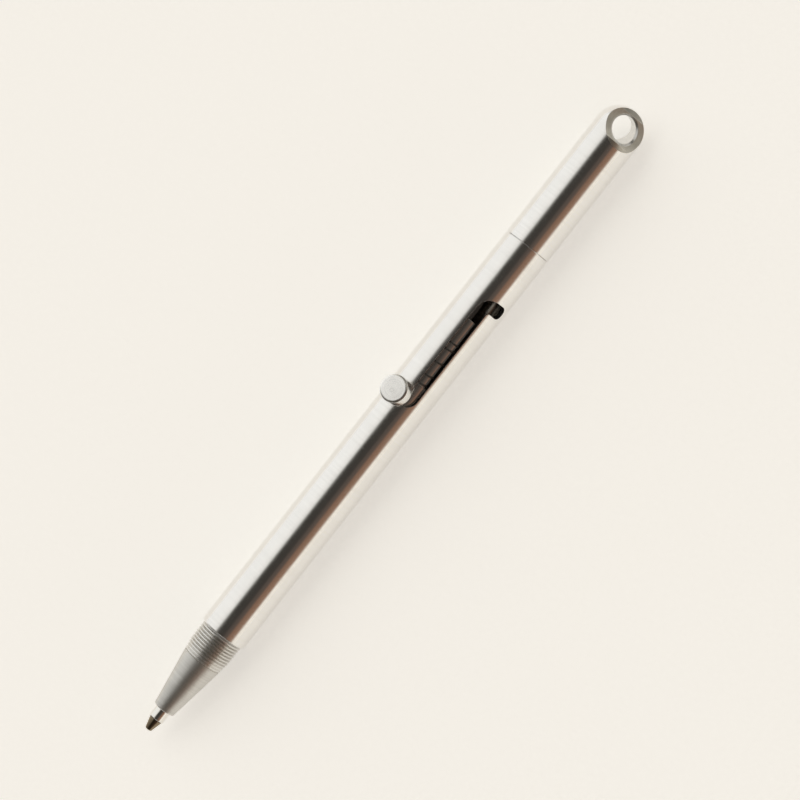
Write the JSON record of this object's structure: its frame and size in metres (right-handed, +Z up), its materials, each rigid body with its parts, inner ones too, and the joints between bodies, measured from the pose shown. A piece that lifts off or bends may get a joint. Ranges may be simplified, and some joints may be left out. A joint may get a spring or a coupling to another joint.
{
  "type": "bolt action keyring pen",
  "caption": "Slim turned-metal ballpoint pen with a knob that turns and slides in a barrel slot to set the point, a ribbed nose that unscrews and a keyring eye at the tail.",
  "frame": {"origin": "on the surface the pen lies on, under the middle of its box", "axes": "+X along the pen from nose to tail, +Z up through the bolt at rest"},
  "size_m": [0.1226, 0.008, 0.0119],
  "materials": {
    "satin_steel": "fine satin along the turned surface",
    "turned_steel": "duller, with fine turning marks",
    "bright_steel": "bright satin",
    "spring_steel": "drawn wire",
    "point_metal": "polished nickel silver",
    "ink": "dark paste"
  },
  "bodies": {
    "barrel": {"barrel": "satin_steel"},
    "nose": {"nose_cone": "turned_steel"},
    "tail": {"tail_cap": "satin_steel"},
    "bolt": {"plunger": "satin_steel", "bolt_knob": "bright_steel", "buffer_spring": "spring_steel"},
    "refill": {"refill_tube": "bright_steel", "refill_point": "point_metal", "ink_column": "ink"},
    "ball": {"tip_ball": "bright_steel"}
  },
  "joints": [
    {"name": "bolt_turn", "type": "hinge", "parent": "barrel", "child": "bolt", "pos_m": [0.00485, 0, 0.00398], "axis": [1, 0, 0], "range_deg": [0, 28.6]},
    {"name": "refill_pull", "type": "slide", "parent": "bolt", "child": "refill", "axis": [-1, 0, 0], "range_m": [0, 0.062]},
    {"name": "nose_off", "type": "slide", "parent": "barrel", "child": "nose", "axis": [-1, 0, 0], "range_m": [0, 0.03]},
    {"name": "tail_off", "type": "slide", "parent": "barrel", "child": "tail", "axis": [1, 0, 0], "range_m": [0, 0.012]},
    {"name": "ball_roll", "type": "hinge", "parent": "refill", "child": "ball", "pos_m": [-0.06085, 0, 0.00398], "axis": [0, 1, 0], "continuous": true}
  ]
}
